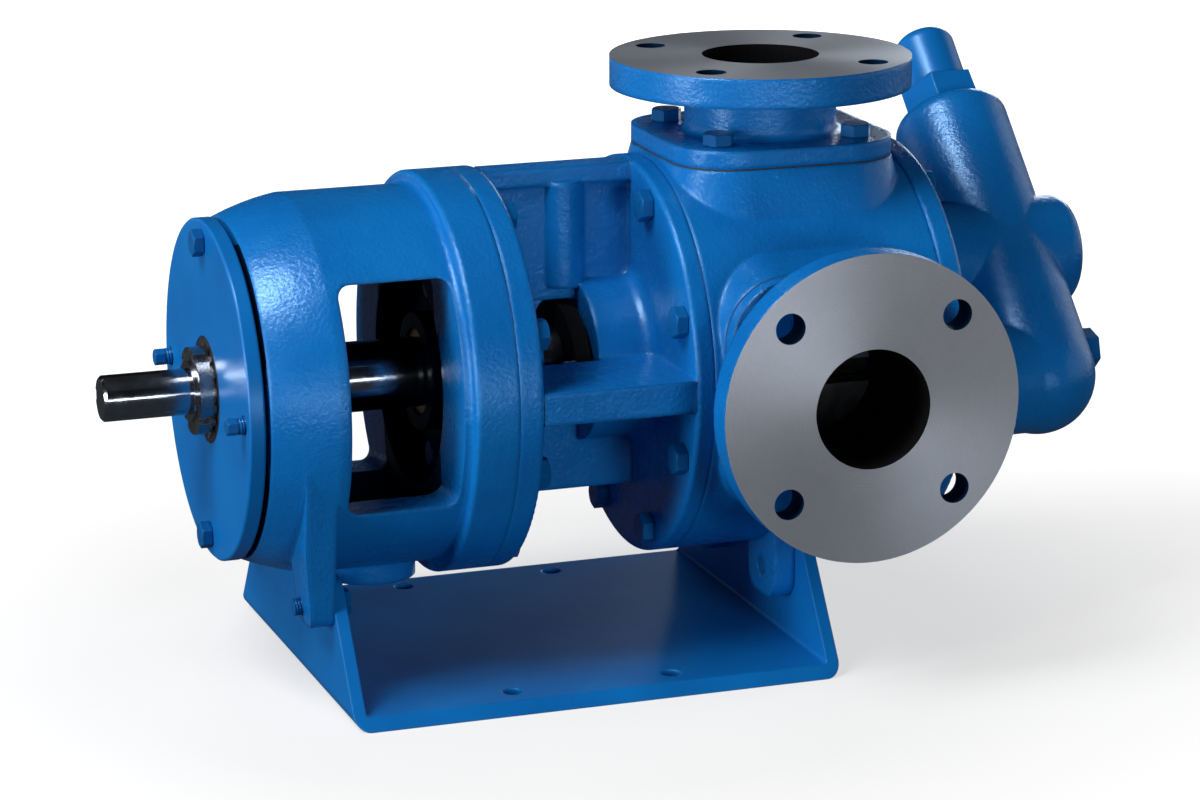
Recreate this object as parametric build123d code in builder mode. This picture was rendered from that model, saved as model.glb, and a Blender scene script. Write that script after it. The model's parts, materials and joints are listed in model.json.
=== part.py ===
from build123d import *
import math
import os

# Internal gear pump on a bent-plate base, with two flanged ports and a relief valve.
# X runs along the shaft towards the head, Y across, Z up. The origin is the centre of
# the base hole pattern, on the underside of the base. Stations are measured along the
# shaft from the port centreline; radii and heights from the shaft axis. Millimetres.

os.makedirs("parts", exist_ok=True)

# ---------------------------------------------------------------- driving dimensions
port_x = 154.0
shaft_height = 184.0
running_gap = 0.3
fit_gap = 0.05
seat_gap = 0.1

# casing and ports
casing_radius = 126.0
casing_rear = -78.0
casing_front = 77.0
chamber_radius = 92.2
chamber_rear = -50.3
boss_half = 72.0
boss_corner = 38.0
boss_draft = 16.0
port_bore = 37.0
cast_passage = 38.5
port_bolt_offset = 46.0
gasket = 1.0
plate_thickness = 11.2
neck_radius = 48.0
flange_face = 186.0
flange_thickness = 19.0
flange_radius = 95.25
flange_pcd = 152.4
flange_hole_radius = 9.525

# head
head_thickness = 14.0
spigot_depth = 32.0
casting_bolts = 8

# gears
module = 12.0
rotor_teeth = 12
idler_teeth = 8
pressure_angle = 30.0
addendum = 0.8 * module
rotor_radius = chamber_radius - running_gap
rotor_disc = 12.0
rotor_hub_radius = 34.0
rotor_hub_length = 16.0
slot_start_radius = 76.0
tooth_play = 0.25
post_play = 0.2
root_clearance = 0.6
crescent_clearance = 0.4
idler_pin_radius = 17.0
idler_bore = 22.0
idler_pin_depth = 40.0

# shaft
extension_radius = 14.2875
extension_end = -429.0
thread_radius = 19.0
bearing_seat_radius = 20.0
shaft_radius = 22.0
shaft_shoulder = -324.0
key_width = 6.35
key_depth = 3.5
key_length = 44.0

# ball bearing, lip seal and locknut
bearing_width = 23.0
bearing_outer_radius = 45.0
bearing_pitch_radius = 32.5
ball_radius = 7.5
ball_count = 8
race_land = 5.7
groove_gap = 0.3
cage_half_thickness = 2.0
cage_width = 19.0
seal_radius = 33.0
seal_width = 7.0
collar_radius = 24.0
locknut_radius = 27.0
locknut_width = 8.0
locknut_slots = 4
lockwasher_thickness = 1.5
lockwasher_tabs = 17

# bearing carrier plate
carrier_rear = -363.0
carrier_thickness = 10.0
carrier_radius = 105.4
carrier_bolt_circle = 92.0
jack_screw_reach = 15.0

# bearing bracket
bracket_rear = -350.0
bracket_nose_radius = 105.4
bracket_radius = 117.5
flare_end = -310.0
window_rear = -304.0
window_front = -234.0
window_half_height = 69.0
window_tilt = 6.0
window_corner = 8.0
cavity_radius = 86.0
bracket_flange_rear = -229.5
bracket_front = -202.0
housing_hub_radius = 37.0
housing_hub_rear = -229.5
housing_flange_radius = 66.0
housing_flange_thickness = 13.0
housing_spigot_radius = 33.0
housing_spigot_length = 10.0
housing_thread = 13.0
bracket_bore = 72.0
rim_edge = 2.5
housing_bolt_circle = 54.0
bushing_wall = 5.0
pad_station = -262.0
pad_radius = 29.0
pad_depth = 127.0

# adapter
adapter_flange_thickness = 15.4
adapter_front_flange_rear = -90.0
hub_radius = 52.0
hub_rear = -126.0
rear_boss_radius = 40.0
rear_boss_end = -158.0
side_rib_thickness = 20.0
side_rib_inner = 55.0
top_rib_cap_width = 19.0
top_rib_cap_depth = 12.0
top_rib_web = 11.0
rib_boss_radius = 14.0
rib_boss_station = -133.0
rib_web_start = 40.0
bottom_rib_radius = 83.0
bottom_rib_thickness = 16.0
packing_radius = 32.0
packing_floor = -84.0
packing_ring = 9.5
packing_rings = 4
gland_plate = 10.0
gland_stud_offset = 44.0
gland_stud_radius = 5.0
gland_stud_depth = 15.0
gland_lobe = 9.0
gland_waist = 38.0

# base plate and feet
base_rear = -310.7
base_front = 2.5
base_width = 275.0
plate = 8.0
bend_radius = 10.0
base_end_height = 80.0
base_end_taper = 54.5
base_end_corner = 12.0
base_hole_pitch_x = 103.0
base_hole_pitch_y = 230.0
base_hole_radius = 6.5
foot_thickness = 14.0
foot_corner = 9.0
drum_clearance = 2.5
bracket_foot_inner = 61.0
bracket_foot_outer = 93.0
bracket_foot_bottom = 131.0
bracket_foot_root = (61.0, -80.0)
bracket_foot_shoulder = (110.0, -28.0)
bracket_foot_depth = 19.0
bracket_foot_bolt_y = 72.0
bracket_foot_bolt_z = 121.5
casing_foot_y = 56.0
casing_foot_width = 44.0
casing_foot_bottom = 150.0
casing_foot_root = 86.0
casing_foot_corner = 14.0
casing_foot_bolt_z = 132.0

# relief valve, on an axis tilted 45 degrees towards +Y
valve_x = 182.0
valve_radius = 38.5
valve_low = -44.0
valve_top = 163.0
valve_top_blend = 11.0
valve_leg_radius = 37.0
valve_high_leg = 50.0
valve_high_leg_end = 232.0
valve_leg_blend = 10.0
valve_bore = 28.0
valve_passage = 24.0
valve_seat_radius = 21.0
valve_seat = 14.0
valve_pad_thickness = 12.0
valve_pad_width = 100.0
valve_pad_length = 170.0
valve_pad_corner = 16.0
valve_pad_bolt_half_width = 40.0
valve_pad_bolt_half_length = 73.0
poppet_length = 14.0
poppet_nose = 5.0
poppet_guide = 12.0
spring_wire = 2.6
spring_coil_radius = 20.0
spring_turns = 6
spring_seat_low = 118.0
spring_seat_thickness = 8.0
adjuster_radius = 10.0
adjuster_travel = 6.0
bonnet_flats = 48.0
bonnet_height = 20.0
bonnet_spigot_length = 22.0
cap_radius = 20.5
cap_end = 226.0
cap_wall = 3.6
cap_blend = 8.0
plug_flats = 24.0
plug_height = 9.0
plug_shank = 9.0
plug_seat = 36.5
valve_plug_height = -28.0

# fasteners: shank radius, width across flats, head height
m12 = (5.5, 15.0, 7.0)
m14 = (6.0, 17.5, 8.0)
m10 = (5.0, 16.0, 6.5)
m8 = (4.0, 13.0, 5.5)
hole_clearance = 0.5
thread_grip = 20.0

# ---------------------------------------------------------------- derived dimensions
boss_height = casing_radius + 0.5
head_radius = casing_radius + 1.0
adapter_front_radius = casing_radius
joint_radius = casing_radius - 0.5
top_rib_radius = casing_radius - 1.0
casting_bolt_circle = casing_radius - 14.0
casing_length = casing_front - casing_rear
head_front = casing_front + head_thickness
spigot_face = casing_front - spigot_depth
plate_top = boss_height + gasket + plate_thickness
rotor_pitch = module * rotor_teeth / 2
idler_pitch = module * idler_teeth / 2
gear_offset = rotor_pitch - idler_pitch
post_tip = rotor_pitch - addendum
idler_tip = idler_pitch + addendum
idler_root = post_tip - gear_offset - root_clearance
tooth_front = spigot_face - running_gap
disc_rear = chamber_rear + running_gap
disc_front = disc_rear + rotor_disc
bearing_rear = shaft_shoulder - bearing_width
carrier_front = carrier_rear + carrier_thickness
adapter_rear_front = bracket_front + adapter_flange_thickness
bushing_radius = shaft_radius + fit_gap + bushing_wall
housing_flange_rear = bracket_front - housing_flange_thickness
housing_front = bracket_front + housing_spigot_length
base_under = -shaft_height

HEAD_PLANES = {"top": (0, 0, 1), "side": (0, -1, 0)}
SHAFT = Axis((port_x, 0, shaft_height), (1, 0, 0))
LENGTHWISE = Plane(origin=(port_x, 0, shaft_height), x_dir=(1, 0, 0), z_dir=(0, -1, 0))


def across(station):
    """Plane square to the shaft, facing the head; its x is across and its y is up."""
    return Plane(origin=(port_x + station, 0, shaft_height), x_dir=(0, 1, 0), z_dir=(1, 0, 0))


def facing_rear(station):
    """Plane square to the shaft, facing the shaft end; its x is up and its y is across."""
    return Plane(origin=(port_x + station, 0, shaft_height), x_dir=(0, 0, 1), z_dir=(-1, 0, 0))


def mesh_plane(station):
    """Plane square to the shaft whose x points to where the two gears mesh."""
    return Plane(
        origin=(port_x + station, 0, shaft_height), x_dir=(0, -1, 1), z_dir=(1, 0, 0)
    )


def port_plane(direction, height):
    """Plane of a port at a height above the shaft, facing outwards."""
    x, y, z = direction
    origin = (port_x + x * height, y * height, shaft_height + z * height)
    return Plane(origin=origin, x_dir=(1, 0, 0), z_dir=direction)


def valve_plane(height):
    """Plane square to the relief valve's axis, at a height along it."""
    rise = height / math.sqrt(2)
    return Plane(
        origin=(port_x + valve_x, rise, shaft_height + rise), x_dir=(1, 0, 0), z_dir=(0, 1, 1)
    )


# profile plane of the relief valve: x is the radius and y runs up the valve's axis
VALVE_PROFILE = Plane(
    origin=(port_x + valve_x, 0, shaft_height), x_dir=(1, 0, 0), z_dir=(0, -1, 1)
)
VALVE_AXIS = Axis((port_x + valve_x, 0, shaft_height), (0, 1, 1))


def tilted_across(station):
    """Plane square to the shaft whose y is the relief valve's axis."""
    return Plane(
        origin=(port_x + station, 0, shaft_height), x_dir=(0, 1, -1), z_dir=(1, 0, 0)
    )


def ring_spots(radius, count, start):
    """Evenly spaced points on a circle, from a starting angle in degrees."""
    angles = [math.radians(start + 360 * k / count) for k in range(count)]
    return [(radius * math.cos(a), radius * math.sin(a)) for a in angles]


def hex_bolts(plane, spots, size, grip):
    """Hex bolts whose heads stand on a plane and whose shanks run down through it."""
    shank, flats, height = size
    with BuildPart() as bolts:
        with BuildSketch(plane):
            with Locations(*spots):
                RegularPolygon(flats / 2, 6, major_radius=False)
        extrude(amount=height)
        with BuildSketch(plane):
            with Locations(*spots):
                Circle(shank)
        extrude(amount=-grip)
    return bolts.part


def ring(plane, outer, inner, length):
    """A plain ring that stands on a plane."""
    with BuildPart() as body:
        with BuildSketch(plane):
            Circle(outer)
            Circle(inner, mode=Mode.SUBTRACT)
        extrude(amount=length)
    return body.part


def save(part, label):
    """Label a finished piece and write it."""
    part.label = label
    export_step(part, f"parts/{label}.step")


port_spots = [
    (x * port_bolt_offset, y * port_bolt_offset) for x in (-1, 1) for y in (-1, 1)
]
casting_spots = ring_spots(casting_bolt_circle, casting_bolts, 22.5)
carrier_spots = ring_spots(carrier_bolt_circle, 4, 0)
housing_spots = ring_spots(housing_bolt_circle, 4, 0)
bracket_foot_spots = [(y, -bracket_foot_bolt_z) for y in (-bracket_foot_bolt_y, bracket_foot_bolt_y)]
casing_foot_spots = [(y, -casing_foot_bolt_z) for y in (-casing_foot_y, casing_foot_y)]
pad_spots = [
    (x * valve_pad_bolt_half_width, (valve_high_leg + valve_low) / 2 + y * valve_pad_bolt_half_length)
    for x in (-1, 1)
    for y in (-1, 1)
]

# ---------------------------------------------------------------- base plate
with BuildPart() as base_plate:
    with BuildSketch(LENGTHWISE) as channel:
        with BuildLine():
            inner = FilletPolyline(
                (base_rear + plate, base_under + base_end_height),
                (base_rear + plate, base_under + plate),
                (base_front - plate, base_under + plate),
                (base_front - plate, base_under + base_end_height),
                radius=bend_radius - plate,
            )
            outer = FilletPolyline(
                (base_rear, base_under + base_end_height),
                (base_rear, base_under),
                (base_front, base_under),
                (base_front, base_under + base_end_height),
                radius=bend_radius,
            )
            Line(inner @ 0, outer @ 0)
            Line(inner @ 1, outer @ 1)
        make_face()
    extrude(amount=base_width / 2, both=True)
    base_top_half = base_width / 2 - base_end_taper
    with BuildSketch(across(base_rear)):
        with BuildLine():
            FilletPolyline(
                (-base_width / 2, base_under),
                (-base_top_half, base_under + base_end_height),
                (base_top_half, base_under + base_end_height),
                (base_width / 2, base_under),
                radius=base_end_corner,
            )
            Line((base_width / 2, base_under), (-base_width / 2, base_under))
        make_face()
    extrude(amount=base_front - base_rear, mode=Mode.INTERSECT)
    with BuildSketch(Plane.XY):
        with GridLocations(base_hole_pitch_x, base_hole_pitch_y, 2, 2):
            Circle(base_hole_radius)
    extrude(amount=plate, mode=Mode.SUBTRACT)
    for station, spots, drum in (
        (base_rear, bracket_foot_spots, bracket_radius),
        (base_front - plate, casing_foot_spots, casing_radius),
    ):
        with BuildSketch(across(station)):
            Circle(drum + drum_clearance)
            with Locations(*spots):
                Circle(m12[0] + hole_clearance)
        extrude(amount=plate, mode=Mode.SUBTRACT)
save(base_plate.part, "base_plate")

# ---------------------------------------------------------------- bearing bracket
# feet that stand against the outside of the base plate's rear end, thicker at the top
bracket_foot_front = base_rear - seat_gap
with BuildPart() as bracket_feet:
    for side in (-1, 1):
        with BuildSketch(across(bracket_foot_front)):
            with BuildLine():
                root = (side * bracket_foot_root[0], bracket_foot_root[1])
                shoulder = (side * bracket_foot_shoulder[0], bracket_foot_shoulder[1])
                FilletPolyline(
                    root,
                    (side * bracket_foot_inner, -bracket_foot_bottom),
                    (side * bracket_foot_outer, -bracket_foot_bottom),
                    shoulder,
                    radius=foot_corner,
                )
                Line(shoulder, root)
            make_face()
        extrude(amount=-bracket_foot_depth)
    with BuildSketch(LENGTHWISE):
        Polygon(
            (bracket_foot_front - foot_thickness, -bracket_foot_bottom),
            (bracket_foot_front - bracket_foot_depth, bracket_foot_root[1]),
            (bracket_foot_front - bracket_foot_depth, -bracket_foot_bottom),
            align=None,
        )
    extrude(amount=joint_radius, both=True, mode=Mode.SUBTRACT)
with BuildPart() as bearing_bracket:
    with BuildSketch(LENGTHWISE):
        with BuildLine():
            Line((bracket_rear, bearing_outer_radius + fit_gap), (bracket_rear, bracket_nose_radius))
            ThreePointArc(
                (bracket_rear, bracket_nose_radius),
                (bracket_rear + 19, bracket_nose_radius + 7.2),
                (flare_end, bracket_radius),
            )
            FilletPolyline(
                (flare_end, bracket_radius),
                (bracket_flange_rear, bracket_radius),
                (bracket_flange_rear, joint_radius),
                (bracket_front, joint_radius),
                radius=rim_edge,
            )
            Polyline(
                (bracket_front, joint_radius),
                (bracket_front, bracket_bore),
                (window_front, bracket_bore),
                (window_front, cavity_radius),
                (window_rear, cavity_radius),
                (window_rear, shaft_radius + 8),
                (shaft_shoulder, shaft_radius + 8),
                (shaft_shoulder, bearing_outer_radius + fit_gap),
                (bracket_rear, bearing_outer_radius + fit_gap),
            )
        make_face()
    revolve(axis=SHAFT)
    window_centre = (window_rear + window_front) / 2
    window_plane = Plane(
        origin=(port_x + window_centre, 0, shaft_height),
        x_dir=(1, 0, 0),
        z_dir=(0, -math.cos(math.radians(window_tilt)), math.sin(math.radians(window_tilt))),
    )
    with BuildSketch(window_plane):
        RectangleRounded(window_front - window_rear, 2 * window_half_height, window_corner)
    extrude(amount=joint_radius, both=True, mode=Mode.SUBTRACT)
    # round pad under the lower rail
    with BuildSketch(Plane.XY.offset(shaft_height - pad_depth)):
        with Locations((port_x + pad_station, 0)):
            Circle(pad_radius)
    extrude(amount=pad_depth - cavity_radius - 2)
    add(bracket_feet.part)
    with BuildSketch(across(bracket_foot_front)):
        with Locations(*bracket_foot_spots):
            Circle(m12[0] + seat_gap)
    extrude(amount=-bracket_foot_depth, mode=Mode.SUBTRACT)
    for station, spots, radius, depth in (
        (bracket_rear, carrier_spots, m12[0], thread_grip),
        (bracket_front, casting_spots, m14[0], -thread_grip),
    ):
        with BuildSketch(across(station)):
            with Locations(*spots):
                Circle(radius + seat_gap)
        extrude(amount=depth, mode=Mode.SUBTRACT)
save(bearing_bracket.part, "bearing_bracket")

# ---------------------------------------------------------------- bushing housing
with BuildPart() as bushing_housing:
    with BuildSketch(LENGTHWISE):
        with BuildLine():
            Polyline(
                (housing_hub_rear, bushing_radius + fit_gap),
                (housing_hub_rear, housing_hub_radius),
                (housing_flange_rear, housing_hub_radius),
                (housing_flange_rear, housing_flange_radius),
                (bracket_front, housing_flange_radius),
                (bracket_front, housing_spigot_radius),
                (housing_front, housing_spigot_radius),
                (housing_front, bushing_radius + fit_gap),
                close=True,
            )
        make_face()
    revolve(axis=SHAFT)
    with BuildSketch(across(housing_flange_rear)):
        with Locations(*housing_spots):
            Circle(m12[0] + hole_clearance)
    extrude(amount=housing_flange_thickness, mode=Mode.SUBTRACT)
save(bushing_housing.part, "bushing_housing")
save(
    ring(
        across(housing_hub_rear + 2),
        bushing_radius,
        shaft_radius + fit_gap,
        housing_front - housing_hub_rear - 4,
    ),
    "shaft_bushing",
)
save(
    hex_bolts(
        facing_rear(housing_flange_rear),
        housing_spots,
        m12,
        housing_flange_thickness + housing_thread,
    ),
    "housing_screws",
)

# ---------------------------------------------------------------- bearing carrier
with BuildPart() as bearing_carrier:
    with BuildSketch(LENGTHWISE):
        with BuildLine():
            Polyline(
                (carrier_rear, seal_radius + fit_gap),
                (carrier_rear, carrier_radius),
                (carrier_front, carrier_radius),
                (carrier_front, bearing_outer_radius - seat_gap),
                (bearing_rear, bearing_outer_radius - seat_gap),
                (bearing_rear, bearing_outer_radius - race_land),
                (carrier_front - 2, bearing_outer_radius - race_land),
                (carrier_front - 2, seal_radius + fit_gap),
                close=True,
            )
        make_face()
    revolve(axis=SHAFT)
    with BuildSketch(across(carrier_rear)):
        with Locations(*carrier_spots):
            Circle(m12[0] + hole_clearance)
    extrude(amount=carrier_thickness, mode=Mode.SUBTRACT)
    chamfer(bearing_carrier.edges().filter_by(GeomType.CIRCLE).sort_by(SortBy.RADIUS)[-2:], 1.0)
save(bearing_carrier.part, "bearing_carrier")
save(
    ring(across(carrier_rear + 0.5), seal_radius, collar_radius + running_gap, seal_width),
    "lip_seal",
)
up_down = [(x, y) for x, y in carrier_spots if abs(y) < 1]
left_right = [(x, y) for x, y in carrier_spots if abs(x) < 1]
save(
    hex_bolts(facing_rear(carrier_rear), up_down, m12, carrier_thickness + thread_grip),
    "carrier_screws",
)
save(
    hex_bolts(
        facing_rear(carrier_rear - jack_screw_reach),
        left_right,
        m12,
        jack_screw_reach + carrier_thickness + thread_grip,
    ),
    "jack_screws",
)

# ---------------------------------------------------------------- ball bearing
def race(outer, inner):
    """A bearing ring with the ball groove turned into it."""
    with BuildPart() as body:
        with BuildSketch(across(bearing_rear)):
            Circle(outer)
            Circle(inner, mode=Mode.SUBTRACT)
        extrude(amount=bearing_width)
        with BuildSketch(LENGTHWISE):
            with Locations((bearing_rear + bearing_width / 2, bearing_pitch_radius)):
                Circle(ball_radius + groove_gap)
        revolve(axis=SHAFT, mode=Mode.SUBTRACT)
    return body.part


save(race(bearing_outer_radius, bearing_outer_radius - race_land), "bearing_outer_race")
save(
    race(bearing_seat_radius + race_land, bearing_seat_radius + fit_gap), "bearing_inner_race"
)
ball_spots = ring_spots(bearing_pitch_radius, ball_count, 0)
with BuildPart() as bearing_balls:
    with Locations(across(bearing_rear + bearing_width / 2)):
        with Locations(*ball_spots):
            Sphere(ball_radius)
save(bearing_balls.part, "bearing_balls")
with BuildPart() as bearing_cage:
    with BuildSketch(across(bearing_rear + (bearing_width - cage_width) / 2)):
        Circle(bearing_pitch_radius + cage_half_thickness)
        Circle(bearing_pitch_radius - cage_half_thickness, mode=Mode.SUBTRACT)
    extrude(amount=cage_width)
    for y, z in ball_spots:
        pocket = Plane(
            origin=(port_x + bearing_rear + bearing_width / 2, 0, shaft_height), z_dir=(0, y, z)
        )
        with BuildSketch(pocket):
            Circle(ball_radius + seat_gap)
        extrude(amount=bearing_outer_radius, mode=Mode.SUBTRACT)
save(bearing_cage.part, "bearing_cage")

# ---------------------------------------------------------------- shaft
with BuildPart() as shaft:
    with BuildSketch(LENGTHWISE):
        with BuildLine():
            Polyline(
                (extension_end, 0),
                (extension_end, extension_radius - 1.5),
                (extension_end + 1.5, extension_radius),
                (carrier_rear - locknut_width - 4, extension_radius),
                (carrier_rear - locknut_width - 4, thread_radius),
                (bearing_rear, thread_radius),
                (bearing_rear, bearing_seat_radius),
                (shaft_shoulder, bearing_seat_radius),
                (shaft_shoulder, shaft_radius),
                (disc_front, shaft_radius),
                (disc_front, 0),
                close=True,
            )
        make_face()
    revolve(axis=SHAFT)
    key_plane = Plane(
        origin=(port_x + extension_end, extension_radius, shaft_height),
        x_dir=(1, 0, 0),
        z_dir=(0, 1, 0),
    )
    with BuildSketch(key_plane):
        with Locations((key_length / 2, 0)):
            Rectangle(key_length, key_width)
    extrude(amount=-key_depth, mode=Mode.SUBTRACT)
save(shaft.part, "shaft")

washer_front = carrier_rear - 0.4
collar_rear = washer_front
save(
    ring(across(collar_rear), collar_radius, thread_radius + fit_gap, bearing_rear - collar_rear),
    "shaft_collar",
)
with BuildPart() as lockwasher:
    with BuildSketch(across(washer_front - lockwasher_thickness)):
        Circle(locknut_radius - 1.5)
        with PolarLocations(locknut_radius - 1, lockwasher_tabs):
            Rectangle(6, 4)
        Circle(thread_radius + fit_gap, mode=Mode.SUBTRACT)
    extrude(amount=lockwasher_thickness)
save(lockwasher.part, "lockwasher")
with BuildPart() as locknut:
    with BuildSketch(across(washer_front - lockwasher_thickness - locknut_width)):
        Circle(locknut_radius)
        with PolarLocations(locknut_radius, locknut_slots, start_angle=30):
            Rectangle(8, 7, mode=Mode.SUBTRACT)
        Circle(thread_radius + fit_gap, mode=Mode.SUBTRACT)
    extrude(amount=locknut_width)
save(locknut.part, "locknut")

# ---------------------------------------------------------------- adapter
with BuildPart() as adapter:
    with BuildSketch(LENGTHWISE):
        with BuildLine():
            Polyline(
                (bracket_front, housing_spigot_radius + fit_gap),
                (bracket_front, joint_radius),
                (adapter_rear_front, joint_radius),
                (adapter_rear_front, rear_boss_radius),
                (rear_boss_end, rear_boss_radius),
                (rear_boss_end, shaft_radius + 2),
                (housing_front + seat_gap, shaft_radius + 2),
                (housing_front + seat_gap, housing_spigot_radius + fit_gap),
                close=True,
            )
        make_face()
    revolve(axis=SHAFT)
    with BuildSketch(LENGTHWISE):
        with BuildLine():
            Polyline(
                (hub_rear, packing_radius),
                (hub_rear, hub_radius),
                (adapter_front_flange_rear, hub_radius),
                (adapter_front_flange_rear, adapter_front_radius),
                (casing_rear, adapter_front_radius),
                (casing_rear, shaft_radius + 1),
                (packing_floor, shaft_radius + 1),
                (packing_floor, packing_radius),
                close=True,
            )
        make_face()
    revolve(axis=SHAFT)
    hub_edge = (
        adapter.edges()
        .filter_by(GeomType.CIRCLE)
        .filter_by(lambda e: abs(e.radius - hub_radius) < 0.01 or abs(e.radius - rear_boss_radius) < 0.01)
        .filter_by(
            lambda e: abs(e.center().X - port_x - adapter_front_flange_rear) < 0.01
            or abs(e.center().X - port_x - adapter_rear_front) < 0.01
        )
    )
    fillet(hub_edge, 9)
    rims = (
        adapter.edges()
        .filter_by(GeomType.CIRCLE)
        .filter_by(
            lambda e: (e.radius > joint_radius - 0.01)
            and (
                abs(e.center().X - port_x - adapter_front_flange_rear) < 0.01
                or abs(e.center().X - port_x - adapter_rear_front) < 0.01
            )
        )
    )
    fillet(rims, rim_edge)
    rib_length = adapter_front_flange_rear - adapter_rear_front
    with BuildSketch(across(adapter_rear_front)):
        for side in (-1, 1):
            with Locations((side * (side_rib_inner + top_rib_radius) / 2, 1)):
                Rectangle(top_rib_radius - side_rib_inner, side_rib_thickness)
        with Locations((0, top_rib_radius - top_rib_cap_depth / 2)):
            Rectangle(top_rib_cap_width, top_rib_cap_depth)
        with Locations((0, (top_rib_radius - 2 + rib_web_start) / 2)):
            Rectangle(top_rib_web, top_rib_radius - 2 - rib_web_start)
        with Locations((0, -(bottom_rib_radius + rib_web_start) / 2)):
            Rectangle(bottom_rib_thickness, bottom_rib_radius - rib_web_start)
    extrude(amount=rib_length)
    # side ribs reach in to the hub where there is one
    with BuildSketch(across(hub_rear)):
        with Locations((0, 1)):
            Rectangle(2 * side_rib_inner, side_rib_thickness)
        Circle(hub_radius - 4, mode=Mode.SUBTRACT)
    extrude(amount=adapter_front_flange_rear - hub_rear)
    with BuildSketch(Plane.XY.offset(shaft_height + hub_radius - 4)):
        with Locations((port_x + rib_boss_station, 0)):
            Circle(rib_boss_radius)
    extrude(amount=top_rib_radius - hub_radius - 6)
    for station, spots, radius, depth in (
        (bracket_front, casting_spots, m14[0] + hole_clearance, adapter_flange_thickness),
        (adapter_front_flange_rear, casting_spots, m14[0] + hole_clearance, 12.0),
        (bracket_front, housing_spots, m12[0] + seat_gap, housing_thread + 1),
        (
            hub_rear,
            [(-gland_stud_offset, 0), (gland_stud_offset, 0)],
            gland_stud_radius + seat_gap,
            gland_stud_depth + 1,
        ),
    ):
        with BuildSketch(across(station)):
            with Locations(*spots):
                Circle(radius)
        extrude(amount=depth, mode=Mode.SUBTRACT)
save(adapter.part, "adapter")
save(
    hex_bolts(
        across(adapter_rear_front),
        casting_spots,
        m14,
        adapter_flange_thickness + thread_grip - 2,
    ),
    "bracket_bolts",
)
save(
    hex_bolts(
        facing_rear(adapter_front_flange_rear),
        [(y, x) for x, y in casting_spots],
        m14,
        casing_rear - adapter_front_flange_rear + thread_grip - 2,
    ),
    "adapter_bolts",
)

# packing box
with BuildPart() as packing:
    for k in range(packing_rings):
        with BuildSketch(across(packing_floor - (k + 1) * packing_ring)):
            Circle(packing_radius - seat_gap)
            Circle(shaft_radius + running_gap, mode=Mode.SUBTRACT)
        extrude(amount=packing_ring - 0.4)
save(packing.part, "packing_rings")
packing_end = packing_floor - packing_rings * packing_ring
gland_rear = hub_rear - 3 - gland_plate
with BuildPart() as gland:
    with BuildSketch(across(gland_rear)):
        with BuildLine():
            lobe = gland_stud_offset
            TangentArc((-lobe, gland_lobe), (-lobe, -gland_lobe), tangent=(-1, 0))
            TangentArc((lobe, -gland_lobe), (lobe, gland_lobe), tangent=(1, 0))
            ThreePointArc((-lobe, gland_lobe), (0, gland_waist), (lobe, gland_lobe))
            ThreePointArc((-lobe, -gland_lobe), (0, -gland_waist), (lobe, -gland_lobe))
        make_face()
    extrude(amount=gland_plate)
    with BuildSketch(across(gland_rear)):
        Circle(packing_radius - seat_gap)
    extrude(amount=packing_end - gland_rear - 0.2)
    with BuildSketch(across(gland_rear)):
        Circle(shaft_radius + 0.8)
        with Locations((-gland_stud_offset, 0), (gland_stud_offset, 0)):
            Circle(gland_stud_radius + hole_clearance)
    extrude(amount=packing_end - gland_rear, mode=Mode.SUBTRACT)
save(gland.part, "packing_gland")
gland_spots = [(0, -gland_stud_offset), (0, gland_stud_offset)]
with BuildPart() as gland_nuts:
    with BuildSketch(facing_rear(gland_rear)):
        with Locations(*gland_spots):
            RegularPolygon(m10[1] / 2, 6, major_radius=False)
    extrude(amount=m10[2] + 2)
    with BuildSketch(facing_rear(gland_rear)):
        with Locations(*gland_spots):
            Circle(gland_stud_radius)
    extrude(amount=m10[2] + 5)
    with BuildSketch(facing_rear(gland_rear)):
        with Locations(*gland_spots):
            Circle(gland_stud_radius)
    extrude(amount=-(hub_rear + gland_stud_depth - gland_rear))
save(gland_nuts.part, "gland_studs")

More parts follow.
